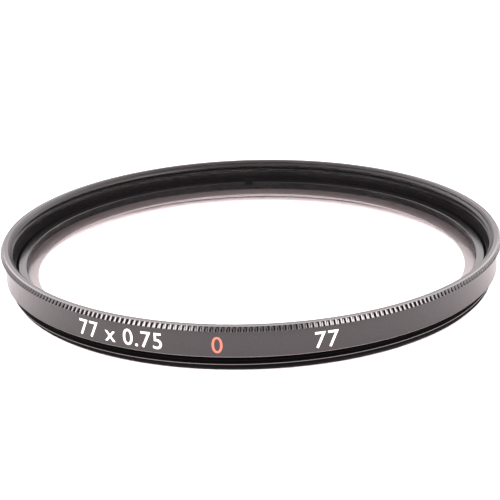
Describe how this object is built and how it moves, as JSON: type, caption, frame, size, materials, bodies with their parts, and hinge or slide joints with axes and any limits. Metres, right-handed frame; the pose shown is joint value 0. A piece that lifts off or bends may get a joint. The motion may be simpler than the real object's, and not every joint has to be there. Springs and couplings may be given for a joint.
{
  "type": "screw-in lens filter",
  "caption": "Round screw-in glass filter for a camera lens: slim knurled metal frame with a rear male thread, a front female thread and a clear glass disc held by a threaded ring.",
  "frame": {"origin": "on the optical axis, at the rear face of the male thread, on which the filter lies", "axes": "+Z along the optical axis towards the front rim; X and Y lie in the plane of the glass"},
  "size_m": [0.08, 0.08, 0.0075],
  "materials": {
    "frame": "satin black anodised",
    "glass": "clear, anti-reflection coated",
    "retainer": "matt black anodised"
  },
  "bodies": {
    "root": {"frame_ring": "frame", "glass_disc": "glass", "retaining_ring": "retainer"}
  },
  "joints": []
}
